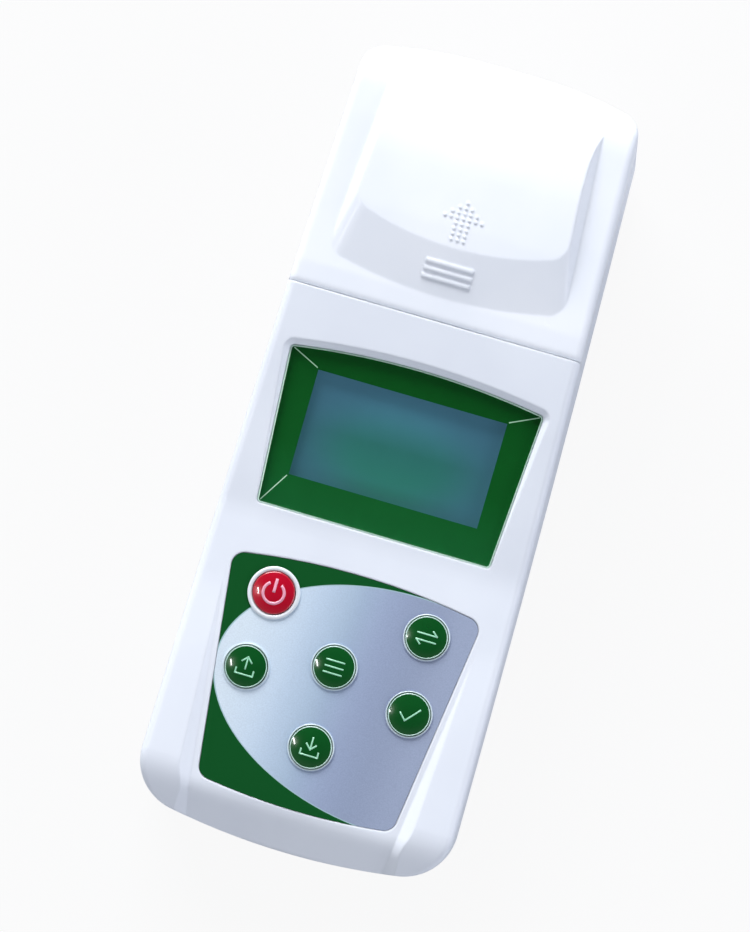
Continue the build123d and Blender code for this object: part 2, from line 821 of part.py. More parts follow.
def lid():
    bottom = lid_ledge_height + side_gap
    front = seam_y + seam_gap
    top = plateau_height + 1.0
    behind = across(front, half_length + 1, bottom, top)
    inside = across(front + lid_wall, half_length, bottom, top)
    outer = round_top_edges(upper_hull(0, bottom, top) & rim_profile(), case_top_round)
    outer += plateau_solid() & upper_hull(case_top_round, lid_floor_height, top)
    outer &= behind
    cavity = upper_hull(lid_wall, bottom - 1, lid_floor_height)
    high = upper_hull(lid_wall, bottom - 1, top) & rim_profile(lid_wall)
    swell = plateau_solid(lid_wall) & upper_hull(case_top_round + lid_wall, bottom, top)
    hollow = (high + swell) & inside
    shell = outer - cavity - hollow
    for x, y in lid_boss_places():
        shell += rod(lid_boss_radius, x, y, deck_height + lid_play, plateau_height) & outer
        shell += rod(lid_neck_radius, x, y, slide_bar_top, deck_height + 1.0)
    for x, y in liner_screw_places():
        shell += rod(2.4, x, y, lid_floor_height + liner_thickness, plateau_height) & outer
    for x, y in lid_boss_places():
        shell -= rod(screw_shank + thread_gap, x, y, slide_bar_top - 1, lid_floor_height + 3.5)
    for x, y in liner_screw_places():
        shell -= rod(small_hole, x, y, lid_floor_height, lid_floor_height + 5.0)
    shell += arrow_dots()
    shell += grip_ribs()
    return shell


def lid_boss_places():
    return [(side * lid_boss_x, y) for side in (-1, 1) for y in lid_boss_ys]


def liner_screw_places():
    return both_sides(((18.0, 80.0), (18.0, 94.0)))


def arrow_dots():
    """Raised dots in rows that draw an arrow pointing the way the lid slides."""
    dots = []
    surface = plateau_solid()
    for row, count in enumerate(arrow_rows):
        y = arrow_tip_y - row * arrow_pitch_y
        for column in range(count):
            x = (column - (count - 1) / 2) * arrow_pitch_x
            dots.append(rod(arrow_dot_radius, x, y, plateau_height - 3.0, plateau_height + 2.0))
    raised = Pos(0, 0, arrow_dot_rise) * surface
    return [dot & raised for dot in dots]


def grip_ribs():
    """Short ribs on the thumb ramp."""
    ribs = []
    raised = Pos(0, 0, grip_rib_rise) * plateau_solid()
    half = grip_rib_length / 2
    for row in range(grip_rib_count):
        y = grip_centre_y + (row - (grip_rib_count - 1) / 2) * grip_rib_pitch
        y0 = y - grip_rib_width / 2
        y1 = y + grip_rib_width / 2
        ribs.append(slab(-half, half, y0, y1, lid_rim_height - 2, plateau_height) & raised)
    return ribs


def lid_liner():
    plate = upper_hull(lid_wall + fit_gap, lid_floor_height, lid_floor_height + liner_thickness)
    plate &= across(seam_y + seam_gap + lid_wall + fit_gap, half_length, 0, sky)
    plate &= rim_profile(lid_wall + fit_gap)
    for x, y in lid_boss_places():
        plate -= rod(lid_boss_radius + fit_gap, x, y, 0, sky)
    for x, y in liner_screw_places():
        plate -= rod(small_hole, x, y, 0, sky)
    return plate


def lid_slide_bars():
    bars = []
    for side in (-1, 1):
        x = side * lid_boss_x
        half = slide_bar_width / 2
        near = min(lid_boss_ys) - lid_neck_radius
        far = max(lid_boss_ys) + lid_neck_radius
        bar = slab(x - half, x + half, near, far, slide_bar_top - slide_bar_height, slide_bar_top)
        bar = fillet(bar.edges().filter_by(Axis.Z), 1.5)
        for y in lid_boss_ys:
            bar -= rod(screw_shank + fit_gap, x, y, 0, sky)
        bars.append(bar)
    return Compound(children=bars)


def lid_screws():
    bearing = slide_bar_top - slide_bar_height
    item = screw(screw_shank, screw_head_radius, screw_head_height, lid_floor_height + 2.5 - bearing)
    return Compound(children=[Pos(x, y, bearing) * item for x, y in lid_boss_places()])


def liner_screws():
    item = screw(small_shank, small_head_radius, small_head_height, liner_thickness + 3.0)
    return Compound(children=[Pos(x, y, lid_floor_height) * item for x, y in liner_screw_places()])


def block_screw_places():
    return [(x, well_y + y) for x in (-20.5, 20.5) for y in (-13.5, 13.5)]


def block_screws():
    item = Rot(180, 0, 0) * screw(small_shank, small_head_radius, small_head_height, wall + 6.0)
    return Compound(children=[Pos(x, y, deck_height) * item for x, y in block_screw_places()])


def well_collar():
    ring = rod(collar_flange_radius, 0, well_y, deck_height, deck_height + collar_flange_height)
    ring = chamfer(ring.edges().group_by(Axis.Z)[-1], 0.5)
    ring += rod(collar_neck_radius, 0, well_y, deck_underside, deck_height + 0.5)
    return ring - rod(well_radius, 0, well_y, deck_underside - 1, deck_height + 3)


def well_light_seal():
    inner = collar_flange_radius + side_gap
    ring = rod(inner + seal_width, 0, well_y, deck_height, deck_height + seal_height)
    return ring - rod(inner, 0, well_y, deck_height - 1, deck_height + seal_height + 1)


def sample_block():
    """Black block with the sample well, and the light path across it."""
    near = well_y - block_half_y
    far = well_y + block_half_y
    block = slab(-block_half_x, block_half_x, near, far, block_bottom, deck_underside)
    block = fillet(block.edges().filter_by(Axis.Z), 3.0)
    for y in optics_screw_ys():
        block += rod_x(2.2, lamp_face_x, -block_half_x + 0.1, y, beam_height)
    block -= rod(well_radius, 0, well_y, well_bottom, deck_underside + 1)
    block -= rod_x(beam_radius, -block_half_x + 1, block_half_x - 1, well_y, beam_height)
    lens_end = -well_radius - lens_shoulder
    filter_end = diode_face_x - filter_thickness
    block -= rod_x(lamp_radius + thread_gap, -block_half_x - 2, lens_end, well_y, beam_height)
    block -= rod_x(diode_radius + thread_gap, diode_face_x, block_half_x + 1, well_y, beam_height)
    block -= rod_x(filter_radius + thread_gap, filter_end, block_half_x, well_y, beam_height)
    for x, y in block_screw_places():
        block -= rod(small_hole, x, y, deck_underside - 7.0, deck_underside + 1)
    for y in optics_screw_ys():
        block -= rod_x(small_hole, -block_half_x - 2, -block_half_x + 4.5, y, beam_height)
        block -= rod_x(small_hole, block_half_x - 4.5, block_half_x + 1, y, beam_height)
    return block


def optics_screw_ys():
    return [well_y - optics_board_side / 2 + 2.4, well_y + optics_board_side / 2 - 2.4]


def lamp():
    """Small LED with its rim outside the block and its dome towards the well."""
    body = rod_x(lamp_radius, -block_half_x, -block_half_x + lamp_length - lamp_radius, well_y, beam_height)
    dome = Pos(-block_half_x + lamp_length - lamp_radius, well_y, beam_height) * Sphere(lamp_radius)
    rim = rod_x(lamp_radius + 0.4, lamp_face_x, -block_half_x, well_y, beam_height)
    return body + dome + rim


def lens():
    far = -well_radius - lens_shoulder
    disc = rod_x(lamp_radius, far - lens_thickness, far, well_y, beam_height)
    ball = 5.0
    return disc & Pos(far - lens_thickness + ball, well_y, beam_height) * Sphere(ball)


def optical_filter():
    near = diode_face_x - filter_thickness
    return rod_x(filter_radius, near, diode_face_x, well_y, beam_height)


def photodiode():
    can = rod_x(diode_radius, diode_face_x + 0.05, block_half_x, well_y, beam_height)
    return can - rod_x(diode_radius - 1.2, diode_face_x, diode_face_x + 0.8, well_y, beam_height)


def optics_board(near_x):
    side = optics_board_side
    y0 = well_y - side / 2
    z0 = beam_height - side / 2
    board = slab(near_x, near_x + board_thickness, y0, y0 + side, z0, z0 + side)
    for y in optics_screw_ys():
        board -= rod_x(small_shank + fit_gap, near_x - 1, near_x + board_thickness + 1, y, beam_height)
    return board


def optics_screws():
    item = screw(small_shank, small_head_radius, small_head_height, board_thickness + 4.0)
    solids = []
    for y in optics_screw_ys():
        solids.append(Pos(lamp_face_x - board_thickness, y, beam_height) * Rot(0, 90, 0) * item)
        solids.append(Pos(block_half_x + board_thickness, y, beam_height) * Rot(0, -90, 0) * item)
    return Compound(children=solids)


def cell_x(index):
    return (index - (cell_count - 1) / 2) * cell_pitch


def cell_direction(index):
    """+1 where the cell's positive end points away from the user, else -1."""
    return 1 if index % 2 == 0 else -1


def battery(index):
    """One cell, lying between the link plate at its positive end and the leaf at its other end."""
    facing = cell_direction(index)
    tip = bay_far_y - contact_sheet - 0.1
    if facing < 0:
        tip = bay_near_y + contact_sheet + 0.1
    body = Pos(0, 0, -cell_nub_length - cell_length / 2) * Cylinder(cell_radius, cell_length)
    body = fillet(body.edges(), 0.6)
    nub = Pos(0, 0, -cell_nub_length / 2 - 0.1) * Cylinder(cell_nub_radius, cell_nub_length + 0.2)
    return Pos(cell_x(index), tip, cell_centre_height) * Rot(-90 * facing, 0, 0) * (body + nub)


def leaf(index, wall_y, inward):
    """Bowed leaf that presses on a cell's flat end."""
    root = wall_y + inward * contact_sheet / 2
    crest = root + inward * (leaf_bulge - 0.15)
    low = cell_centre_height - cell_radius + 2.0
    high = cell_centre_height + cell_radius - 2.0
    points = [(root, low), (crest, cell_centre_height), (root, high)]
    strip = trace(FilletPolyline(*points, radius=3.0), contact_sheet)
    return Pos(cell_x(index), 0, 0) * extrude(Plane.YZ * strip, contact_half - 1.0, both=True)


def contact(first, last, wall_y, inward):
    """Contact sheet over the ends of neighbouring cells, with a leaf at each flat end."""
    x0 = cell_x(first) - contact_half
    x1 = cell_x(last) + contact_half
    y0, y1 = sorted((wall_y, wall_y + inward * contact_sheet))
    sheet = slab(x0, x1, y0, y1, floor_top + 1.2, bay_top - 1.0)
    for index in range(first, last + 1):
        if cell_direction(index) == inward:
            sheet += leaf(index, wall_y, inward)
    return sheet


def contact_tab(index, grow=0.0):
    """Solder tab that passes out through the bay's far wall."""
    x = cell_x(index)
    end = contact_tab_end if not grow else bay_far_y + bay_wall + 1.0
    half = contact_tab_width / 2 + grow
    z0 = contact_tab_height - contact_sheet / 2 - grow
    z1 = contact_tab_height + contact_sheet / 2 + grow
    return slab(x - half, x + half, bay_far_y - contact_sheet, end, z0, z1)


def battery_contacts():
    """Two end contacts with solder tabs, and the links that join neighbouring cells."""
    solids = []
    for index in (0, cell_count - 1):
        solids.append(contact(index, index, bay_far_y, -1) + contact_tab(index))
    for first in range(1, cell_count - 2, 2):
        solids.append(contact(first, first + 1, bay_far_y, -1))
    for first in range(0, cell_count - 1, 2):
        solids.append(contact(first, first + 1, bay_near_y, 1))
    return Compound(children=solids)


def socket_face(place):
    """Middle of the lower face of a socket under the main board."""
    return (under_board(*place) * Pos(0, 0, socket_height)).position


def lead(name, points):
    """Insulated lead: straight runs joined by arcs as large as the runs allow."""
    corners = [Vector(*point) for point in points]
    radii = []
    for before, corner, after in zip(corners, corners[1:], corners[2:]):
        first = corner - before
        second = after - corner
        turn = radians(first.get_angle(second))
        radii.append(min(0.45 * min(first.length, second.length) / tan(turn / 2), 60.0))
    print(name, "bend radii", [round(radius, 1) for radius in radii])
    path = FilletPolyline(*corners, radius=radii)
    start = Plane(origin=path @ 0, z_dir=path % 0)
    return sweep(start * Circle(lead_radius), path=path)


def battery_lead(name, index, offset_x, swing):
    """Lead from an end contact's solder tab, over the bay, down to the battery socket."""
    x = cell_x(index)
    end = socket_face(battery_socket_place) + Vector(offset_x, 0, -0.1)
    height = contact_tab_height
    points = [
        (x, contact_tab_end, height),
        (x, contact_tab_end + 7.0, height - 0.5),
        (x + (end.X - x) * 0.45, contact_tab_end + swing, height - 4.0),
        (end.X, end.Y + 1.0, height - 3.0),
        (end.X, end.Y, end.Z),
    ]
    return lead(name, points)


def optics_lead(name, side, start_x, place):
    """Lead from a board on the sample block, along the floor, up to its socket."""
    end = socket_face(place) + Vector(0, 0, -0.1)
    points = [
        (side * start_x, well_y - 5.0, 17.0),
        (side * (start_x + 5.0), well_y - 5.0, 17.0),
        (side * 34.0, 38.0, 13.0),
        (side * 34.0, 18.0, 11.5),
        (side * 31.5, -2.0, 11.0),
        (side * 27.0, -18.0, 11.0),
        (side * 26.3, end.Y + 9.0, 11.5),
        (end.X, end.Y + 0.5, 14.5),
        (end.X, end.Y, end.Z),
    ]
    return lead(name, points)


glass_sketch = Rectangle(glass_width, glass_height)
nodes = {
    "upper_case": upper_case(),
    "lower_case": lower_case(),
    "battery_door": battery_door(),
    "rubber_feet": rubber_feet(),
    "case_screws": case_screw_set(),
    "keypad_panel": keypad_panel(),
    "key_switches": key_switches(),
    "main_board": main_board(),
    "main_board_screws": board_screws(),
    "processor": chip(processor_place, processor_size),
    "amplifier": chip(amplifier_place, amplifier_size),
    "crystal": chip(crystal_place, crystal_size),
    "buzzer": can(buzzer_place, buzzer_radius, buzzer_height),
    "capacitors": capacitors(),
    "battery_socket": chip(battery_socket_place, battery_socket_size),
    "lamp_socket": chip(lamp_socket_place, optics_socket_size),
    "sensor_socket": chip(sensor_socket_place, optics_socket_size),
    "display_window": window_slice(window_sketch(), 0, window_thickness),
    "display_mask": display_mask(),
    "display_bezel": display_bezel(),
    "display_glass": window_slice(glass_sketch, glass_depth, backlight_depth),
    "display_backlight": window_slice(glass_sketch, backlight_depth, display_board_depth),
    "display_board": display_board(),
    "display_board_screws": display_screws(),
    "display_ribbon": display_ribbon(),
    "lid": lid(),
    "lid_liner": lid_liner(),
    "lid_slide_bars": lid_slide_bars(),
    "lid_screws": lid_screws(),
    "liner_screws": liner_screws(),
    "well_collar": well_collar(),
    "well_light_seal": well_light_seal(),
    "sample_block": sample_block(),
    "block_screws": block_screws(),
    "lamp": lamp(),
    "lens": lens(),
    "optical_filter": optical_filter(),
    "photodiode": photodiode(),
    "lamp_board": optics_board(lamp_face_x - board_thickness),
    "detector_board": optics_board(block_half_x),
    "optics_screws": optics_screws(),
    "battery_contacts": battery_contacts(),
    "battery_lead_red": battery_lead("battery_lead_red", 0, -1.6, 12.0),
    "battery_lead_black": battery_lead("battery_lead_black", cell_count - 1, 1.6, 10.0),
    "lamp_lead": optics_lead("lamp_lead", -1, board_thickness - lamp_face_x, lamp_socket_place),
    "sensor_lead": optics_lead("sensor_lead", 1, board_thickness + block_half_x, sensor_socket_place),
}
for name in key_places:
    nodes[name] = key(name)
for index in range(cell_count):
    nodes[f"battery_{index + 1}"] = battery(index)

os.makedirs("parts", exist_ok=True)
for name, shape in nodes.items():
    export_step(shape, f"parts/{name}.step")
    print(name, round(shape.volume, 1), len(shape.solids()))
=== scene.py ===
# %% [markdown]
# # A handheld colorimeter, dressed for its picture
#
# The instrument measures the colour of a water sample. A vial stands in a dark well under the
# sliding lid, a lamp shines through it, and the keys and the display are on the sloping front.
# This file starts from the CAD model, which is the fixed frame, and gives every piece its looks.
# Everything is in metres. +Y runs from the user to the lid end, and +Z is up.

# %% Load the frame
from math import atan2, cos, pi, radians, sin, sqrt, tan

import bmesh
import bpy
from mathutils import Matrix, Vector


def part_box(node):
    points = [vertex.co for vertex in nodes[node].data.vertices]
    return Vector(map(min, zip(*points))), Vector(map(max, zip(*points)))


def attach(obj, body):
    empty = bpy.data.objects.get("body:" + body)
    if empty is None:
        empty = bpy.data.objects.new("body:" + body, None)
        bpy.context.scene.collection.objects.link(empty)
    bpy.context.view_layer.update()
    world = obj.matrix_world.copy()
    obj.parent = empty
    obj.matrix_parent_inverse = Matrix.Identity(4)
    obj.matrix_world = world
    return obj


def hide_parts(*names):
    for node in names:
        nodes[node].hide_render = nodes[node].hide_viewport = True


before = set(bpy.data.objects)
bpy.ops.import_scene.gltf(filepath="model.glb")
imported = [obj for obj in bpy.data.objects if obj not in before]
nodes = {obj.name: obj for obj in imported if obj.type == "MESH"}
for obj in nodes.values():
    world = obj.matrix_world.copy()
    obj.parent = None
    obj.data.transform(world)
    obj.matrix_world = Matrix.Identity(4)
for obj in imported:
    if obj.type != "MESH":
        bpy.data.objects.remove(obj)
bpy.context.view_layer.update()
MM = 0.001

# %% [markdown]
# ## The camera
#
# The photographer stood over the table and held the camera almost straight down, turned a little,
# so the instrument leans in the frame. An 85 mm lens about 0.6 m away gives the same weak
# perspective. The camera is built from an azimuth, an elevation and a roll, because these are
# the three things that one can read off a photograph.

# %% Camera
AZIMUTH = radians(25.0)
ELEVATION = radians(84.0)
ROLL = radians(16.44)
DISTANCE = 0.591
TARGET = Vector((-0.00476, -0.00394, 0.035))
LENS_MM = 85
SENSOR_MM = 36


def camera_axes():
    """The camera's right, up and back directions."""
    level = cos(ELEVATION)
    back = Vector((sin(AZIMUTH) * level, -cos(AZIMUTH) * level, sin(ELEVATION)))
    north = Vector((0, 1, 0))
    north = (north - north.dot(back) * back).normalized()
    east = north.cross(back)
    up = cos(ROLL) * north - sin(ROLL) * east
    right = sin(ROLL) * north + cos(ROLL) * east
    return right, up, back


right, up, back = camera_axes()
aim = Matrix((right, up, back)).transposed().to_4x4()
lens_data = bpy.data.cameras.new("camera")
lens_data.lens = LENS_MM
lens_data.sensor_width = SENSOR_MM
camera = bpy.data.objects.new("camera", lens_data)
bpy.context.scene.collection.objects.link(camera)
camera.matrix_world = Matrix.Translation(TARGET + back * DISTANCE) @ aim
bpy.context.scene.camera = camera
print("camera at", [round(v / MM) for v in camera.matrix_world.translation], "mm")

# %% [markdown]
# ## Helpers for materials
#
# Colours are written as sRGB hex values, the way a picker shows them, and one function turns
# them to the linear values that the shader works with. One small function adds a node: its
# settings go in by name, and an input is either a plain value or another node's output.

# %% Material helpers
def colour(code):
    """Linear colour for an sRGB hex value such as #E8ECF2."""
    channels = [int(code[i:i + 2], 16) / 255 for i in (1, 3, 5)]
    linear = [c / 12.92 if c <= 0.04045 else ((c + 0.055) / 1.055) ** 2.4 for c in channels]
    return (*linear, 1.0)


def add(material, kind, inputs=None, **settings):
    """Add one node to a material, with its settings, values and links."""
    node = material.node_tree.nodes.new(kind)
    for name, value in settings.items():
        setattr(node, name, value)
    for name, value in (inputs or {}).items():
        if isinstance(value, bpy.types.NodeSocket):
            material.node_tree.links.new(value, node.inputs[name])
        else:
            node.inputs[name].default_value = value
    return node


def new_material(name):
    """An empty node material."""
    material = bpy.data.materials.new(name)
    material.use_nodes = True
    material.node_tree.nodes.clear()
    return material


def per_mm(size):
    """Texture scale whose pattern repeats about once in size millimetres."""
    return 1 / (size * MM)


print("white in linear values:", colour("#FFFFFF"))

# %% [markdown]
# Two recipes cover most pieces. Moulded plastic, rubber and ink have two close colours in broad
# soft clouds, because no real moulding is quite even, and a fine grain that breaks the
# highlight. Metal has one colour and a grain drawn out along one axis, as rolling and drawing
# leave it, and that grain makes its highlight a little streaky.

# %% Recipes for moulded and metal surfaces
CLOUD_MM = 35
PLASTIC_IOR = 1.53
EDGE_SAMPLES = 6


def moulded(name, dark, light, roughness, grain_mm, relief_mm, coat=0.0, edge_mm=0.0):
    """Moulded plastic, rubber or ink; edge_mm rounds the shading at the piece's edges."""
    material = new_material(name)
    place = add(material, "ShaderNodeTexCoord").outputs["Object"]
    clouds = add(material, "ShaderNodeTexNoise", {
        "Vector": place, "Scale": per_mm(CLOUD_MM), "Detail": 3.0})
    tint = add(material, "ShaderNodeValToRGB", {"Fac": clouds.outputs["Fac"]})
    for end, position, code in zip(tint.color_ramp.elements, (0.35, 0.65), (dark, light)):
        end.position = position
        end.color = colour(code)
    grain = add(material, "ShaderNodeTexNoise", {
        "Vector": place, "Scale": per_mm(grain_mm), "Detail": 2.0})
    sheen = add(material, "ShaderNodeMapRange", {
        "Value": grain.outputs["Fac"], "To Min": roughness - 0.05, "To Max": roughness + 0.05})
    bump = add(material, "ShaderNodeBump", {
        "Height": grain.outputs["Fac"], "Strength": 1.0, "Distance": relief_mm * MM})
    if edge_mm:
        edge = add(material, "ShaderNodeBevel", {"Radius": edge_mm * MM}, samples=EDGE_SAMPLES)
        material.node_tree.links.new(edge.outputs["Normal"], bump.inputs["Normal"])
    shader = add(material, "ShaderNodeBsdfPrincipled", {
        "Base Color": tint.outputs["Color"], "Roughness": sheen.outputs["Result"],
        "Normal": bump.outputs["Normal"], "IOR": PLASTIC_IOR,
        "Coat Weight": coat, "Coat Roughness": 0.12})
    add(material, "ShaderNodeOutputMaterial", {"Surface": shader.outputs["BSDF"]})
    return material


def metal(name, tone, roughness, grain_mm, stretch):
    """Bare or plated metal, with a grain drawn out along one axis by stretch."""
    material = new_material(name)
    place = add(material, "ShaderNodeTexCoord").outputs["Object"]
    drawn = add(material, "ShaderNodeMapping", {
        "Vector": place, "Scale": (1.0, 1.0 / stretch, 1.0)})
    grain = add(material, "ShaderNodeTexNoise", {
        "Vector": drawn.outputs["Vector"], "Scale": per_mm(grain_mm), "Detail": 3.0})
    sheen = add(material, "ShaderNodeMapRange", {
        "Value": grain.outputs["Fac"], "To Min": roughness - 0.08, "To Max": roughness + 0.08})
    shader = add(material, "ShaderNodeBsdfPrincipled", {
        "Base Color": colour(tone), "Metallic": 1.0, "Roughness": sheen.outputs["Result"]})
    add(material, "ShaderNodeOutputMaterial", {"Surface": shader.outputs["BSDF"]})
    return material


print("clouds of", CLOUD_MM, "mm in each moulding")

# %% [markdown]
# ## The plastics, rubber and metals
#
# The case is injection-moulded ABS in a cool white. Its tool was lightly spark-eroded, so it is
# satin: broad soft highlights and no mirror image. The grain of such a tool is about 0.1 mm,
# which is finer than a pixel here, so it is drawn at 0.45 mm with very little relief. The folds
# of the real shell are all softly rounded. The CAD model has many of them sharp, so a Bevel node
# bends the shading over 0.8 mm at each edge, and the light rolls over it. The lid's folds are
# rounder still. The other grains are coarser than in real life too, so that they show.

# %% Plain materials
# satin white shells: broad soft highlights, and folds that the light rolls over
case_abs = moulded(
    "moulded_white_abs", "#E6EAF1", "#ECF0F6", 0.36, 0.45, 0.003, coat=0.15, edge_mm=0.8)
lid_abs = moulded(
    "moulded_white_abs_lid", "#E7EBF1", "#EDF0F5", 0.36, 0.45, 0.003, coat=0.15, edge_mm=1.2)
# black mouldings round the light path: matt, so that they swallow stray light
black_abs = moulded("moulded_black_abs", "#0B0B0C", "#141416", 0.5, 0.5, 0.01)
# rubber and foam: no highlight at all, and the foam's cells show as a rough surface
black_rubber = moulded("moulded_black_rubber", "#0E0E0F", "#191919", 0.75, 0.6, 0.02)
black_foam = moulded("closed_cell_foam", "#101012", "#1C1C1F", 0.9, 0.5, 0.12)
# sockets: the warm ivory of undyed nylon, slightly waxy
ivory_nylon = moulded("moulded_ivory_nylon", "#D9D2BC", "#E4DECB", 0.5, 0.5, 0.005)
# board lacquer: a wet-looking dark green coat
solder_resist = moulded(
    "green_solder_resist", "#0A3A1C", "#0E4A26", 0.3, 0.8, 0.01, coat=0.4)
# chip bodies: dull near-black epoxy
chip_epoxy = moulded("moulded_black_epoxy", "#141415", "#1D1D1F", 0.55, 0.4, 0.006)
# ribbon: glossy amber film
polyimide = moulded("polyimide_film", "#8A4A10", "#A05A18", 0.25, 1.0, 0.003, coat=0.3)
# leads: soft PVC with a faint sheen
red_pvc = moulded("extruded_red_pvc", "#8E0F12", "#A31518", 0.4, 0.7, 0.004)
black_pvc = moulded("extruded_black_pvc", "#101010", "#1A1A1B", 0.4, 0.7, 0.004)
grey_pvc = moulded("extruded_grey_pvc", "#5A5A5E", "#6A6A6E", 0.4, 0.7, 0.004)
# cells: a dark blue sleeve, shrunk tight and glossy
cell_sleeve = moulded("printed_cell_sleeve", "#22304A", "#2B3C5C", 0.3, 1.2, 0.002, coat=0.5)
# backlight: a milky plate that looks lit from inside
milky_acrylic = moulded("milky_acrylic", "#D5E0EA", "#E2EBF3", 0.3, 1.0, 0.001)
# screws, contacts and cans: grey zinc, warmer and brighter nickel, thin gold
zinc_steel = metal("zinc_plated_steel", "#B9B7B0", 0.34, 0.4, 4.0)
nickel_sheet = metal("nickel_plated_sheet", "#C4C0B6", 0.25, 0.5, 8.0)
gold_can = metal("gold_plated_can", "#D9B56A", 0.28, 0.5, 2.0)
print(len(bpy.data.materials), "materials so far")

# %% [markdown]
# ## See-through parts and the display
#
# Clear plastic in front of a print is the hard case for a renderer: real refraction would need
# the light's path through the pane to be traced to see the print lit. A pane this thin hardly
# bends the view, so it is drawn as almost transparent, and the gloss that the pane would show is
# given to the print and the liquid crystal cell behind it as a clear coat.

# %% Clear materials
PANE_ALPHA = 0.02
WAVE_MM = 12
WAVE_RELIEF_MM = 0.01


def clear(name, tone, alpha, roughness):
    """Polished clear plastic or glass, drawn mostly transparent, with faint slow waves."""
    material = new_material(name)
    place = add(material, "ShaderNodeTexCoord").outputs["Object"]
    waves = add(material, "ShaderNodeTexNoise", {
        "Vector": place, "Scale": per_mm(WAVE_MM), "Detail": 1.0})
    bump = add(material, "ShaderNodeBump", {
        "Height": waves.outputs["Fac"], "Strength": 1.0, "Distance": WAVE_RELIEF_MM * MM})
    shader = add(material, "ShaderNodeBsdfPrincipled", {
        "Base Color": colour(tone), "Roughness": roughness, "Normal": bump.outputs["Normal"],
        "IOR": 1.49, "Alpha": alpha})
    add(material, "ShaderNodeOutputMaterial", {"Surface": shader.outputs["BSDF"]})
    return material


# the pane all but disappears; the lamp's epoxy, the lens and the filter show their edges
window_acrylic = clear("polished_clear_acrylic", "#0C2A18", PANE_ALPHA, 0.04)
lamp_epoxy = clear("cast_clear_epoxy", "#DDF2DD", 0.55, 0.08)
optic_glass = clear("polished_optical_glass", "#E8F2FA", 0.35, 0.03)
filter_glass = clear("coated_filter_glass", "#2E8B4A", 0.75, 0.04)
print("the window's pane lets through", 1 - PANE_ALPHA, "of the light")

# %% [markdown]
# The window's surround is a green screen print on the back of the pane. It is painted darker
# towards the lid and lighter near the keys: a painted reflection of a brighter part of the room.
# The liquid crystal cell is grey-blue, a little greener in its middle and along its lower edge,
# and painted lighter at its top against the shadow that the window's frame casts there. Both
# follow a colour ramp along the object's own Y axis. A second tone comes in with the distance
# from the middle, so the cell is bluer round its rim. The milky plate behind the cell spreads the
# light that falls on it. A weak glow of the cell stands in for that: a painted glow.

# %% Window print and liquid crystal
# the rim's oval reaches 1/36 m to the sides and 1/60 m up and down
RIM_PER_METRE = (36, 60, 0)
RIM_FROM, RIM_TO = 0.35, 1.05
PATCH_MM = 9
PATCH_SHARE = 0.07


def shaded_along(name, stops, span_mm, rim_tone, rim_share, roughness, coat, glow=0.0):
    """Glossy print with a ramp of colours along Y, and a rim tone away from its middle."""
    material = new_material(name)
    place = add(material, "ShaderNodeTexCoord").outputs["Object"]
    parts = add(material, "ShaderNodeSeparateXYZ", {"Vector": place})
    reach = add(material, "ShaderNodeMapRange", {
        "Value": parts.outputs["Y"], "From Min": span_mm[0] * MM, "From Max": span_mm[1] * MM})
    ramp = add(material, "ShaderNodeValToRGB", {"Fac": reach.outputs["Result"]})
    while len(ramp.color_ramp.elements) < len(stops):
        ramp.color_ramp.elements.new(0.5)
    for element, (position, code) in zip(ramp.color_ramp.elements, stops):
        element.position = position
        element.color = colour(code)
    # the distance from the middle, in an oval about as wide as the display
    reduced = add(material, "ShaderNodeVectorMath", {
        0: place, 1: RIM_PER_METRE}, operation="MULTIPLY")
    far = add(material, "ShaderNodeVectorMath", {
        0: reduced.outputs["Vector"]}, operation="LENGTH")
    rim_mix = add(material, "ShaderNodeMapRange", {
        "Value": far.outputs["Value"], "From Min": RIM_FROM, "From Max": RIM_TO,
        "To Max": rim_share}, interpolation_type="SMOOTHSTEP")
    tint = add(material, "ShaderNodeMix", {
        "Factor": rim_mix.outputs["Result"], 6: ramp.outputs["Color"], 7: colour(rim_tone)},
        data_type="RGBA")
    # faint lighter and darker patches; what the glow gives is taken from the base colour
    patches = add(material, "ShaderNodeTexNoise", {
        "Vector": place, "Scale": per_mm(PATCH_MM), "Detail": 2.0})
    shade = add(material, "ShaderNodeMapRange", {
        "Value": patches.outputs["Fac"], "To Min": (1 - PATCH_SHARE) * (1 - glow),
        "To Max": (1 + PATCH_SHARE) * (1 - glow)})
    uneven = add(material, "ShaderNodeVectorMath", {
        0: tint.outputs[2], "Scale": shade.outputs["Result"]}, operation="SCALE")
    shader = add(material, "ShaderNodeBsdfPrincipled", {
        "Base Color": uneven.outputs["Vector"], "Roughness": roughness, "IOR": 1.5,
        "Emission Color": tint.outputs[2], "Emission Strength": glow,
        "Coat Weight": coat, "Coat Roughness": 0.05})
    add(material, "ShaderNodeOutputMaterial", {"Surface": shader.outputs["BSDF"]})
    return material


PRINT_SPAN = (-24, 20)
CRYSTAL_SPAN = (-13.5, 16)
# deep bottle green with a soft gloss; its ramp is a painted reflection, lighter towards the keys
window_print = shaded_along(
    "screen_printed_green_border",
    [(0.0, "#1C6A38"), (0.45, "#0E5A20"), (1.0, "#0A5218")],
    PRINT_SPAN, "#0C561E", 0.4, 0.18, 0.3)
# grey-blue that seems to lie a little below the surface, with a painted glow;
# its top stop is lighter, painted light against the shadow of the window's frame
crystal_cell = shaded_along(
    "liquid_crystal_cell",
    [(0.0, "#1E6E40"), (0.18, "#2F7A6C"), (0.5, "#2D7069"), (1.0, "#4E88A0")],
    CRYSTAL_SPAN, "#3F6A80", 0.8, 0.3, 0.3, glow=0.4)
print("display colours run over", CRYSTAL_SPAN[1] - CRYSTAL_SPAN[0], "mm of liquid crystal")

# %% [markdown]
# ## The keypad's film
#
# The keypad is a polyester film, printed from behind with a green field and a brushed silver
# one. Their border is an oval that leaves the film on the right, with a thin pale line along it.
# The oval is found with one Mapping node: in its own units the border lies at distance 1 from
# the centre. Two narrow steps on that distance switch from the silver to the pale line, and
# from the line to the green.

